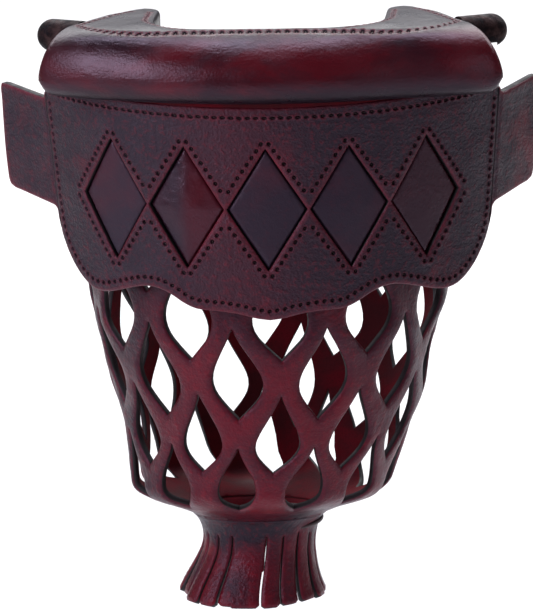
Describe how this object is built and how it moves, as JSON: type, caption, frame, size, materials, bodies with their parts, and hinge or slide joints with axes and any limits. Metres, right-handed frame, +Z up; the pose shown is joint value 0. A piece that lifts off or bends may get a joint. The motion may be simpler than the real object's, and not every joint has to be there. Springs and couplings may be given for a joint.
{
  "type": "billiard table corner drop pocket",
  "caption": "Leather-covered horseshoe corner pocket for a billiard table, with a scalloped diamond shield, two nailing wings and a hanging slit-leather ball net with a fringe.",
  "frame": {"origin": "midway between the two rail bolts, at their flat seats under the lugs", "axes": "+Z up, +X to the right seen from the front of the pocket, +Y towards the table"},
  "size_m": [0.2489, 0.201, 0.2836],
  "materials": {
    "roll_leather": "glossy oxblood leather, antiqued",
    "top_leather": "satin oxblood leather, antiqued",
    "lining_leather": "dark oxblood leather, plain",
    "shield_leather": "satin oxblood leather, antiqued, pricked with awl holes",
    "diamond_leather": "near-black purple leather, semi-gloss",
    "net_leather": "oxblood harness leather, red on the straps, dark at the cut edges",
    "thread": "waxed thread",
    "lace": "leather thong",
    "iron": "rough dark cast iron",
    "felt": "pressed wool felt",
    "rivet": "aged brass"
  },
  "bodies": {
    "pocket": {"pocket_iron": "iron", "felt_wrap": "felt", "roll_leather": "roll_leather", "top_leather": "top_leather", "throat_liner": "lining_leather", "underside_leather": "lining_leather", "left_end_leather": "lining_leather", "right_end_leather": "lining_leather", "stitching_front": "thread", "stitching_ends": "thread", "stitching_throat": "thread", "shield_front": "shield_leather", "shield_backing": "diamond_leather", "shield_hanger": "lining_leather", "shield_rivets": "rivet", "stitching_shield_top": "thread", "stitching_border": "thread", "stitching_diamonds": "thread", "net_band": "net_leather", "net_straps": "net_leather", "net_rivets": "rivet"},
    "left_wing": {"left_wing": "shield_leather"},
    "right_wing": {"right_wing": "shield_leather"},
    "net": {"net_basket": "net_leather", "net_neck": "net_leather", "neck_lace": "lace", "fringe_roots": "net_leather"},
    "fringe": {"fringe": "net_leather"}
  },
  "joints": [
    {"name": "left_wing_bend", "type": "hinge", "parent": "pocket", "child": "left_wing", "pos_m": [-0.1, -0.0016, -0.0665], "axis": [0.0649, 0.0721, -0.9953], "range_deg": [-25, 45], "stiffness_Nm_per_rad": 0.1},
    {"name": "right_wing_bend", "type": "hinge", "parent": "pocket", "child": "right_wing", "pos_m": [0.1, -0.0016, -0.0665], "axis": [0.0823, -0.0514, 0.9953], "range_deg": [-35, 35], "stiffness_Nm_per_rad": 0.1},
    {"name": "net_sway", "type": "hinge", "parent": "pocket", "child": "net", "pos_m": [-0.007, 0.04415, -0.1125], "axis": [1, 0, 0], "range_deg": [-6, 8], "stiffness_Nm_per_rad": 0.3, "deforming": ["net_straps"]},
    {"name": "fringe_sway", "type": "hinge", "parent": "net", "child": "fringe", "pos_m": [-0.007, 0.04415, -0.2425], "axis": [0, 1, 0], "range_deg": [-10, 10], "stiffness_Nm_per_rad": 0.02, "deforming": ["fringe_roots"]}
  ]
}
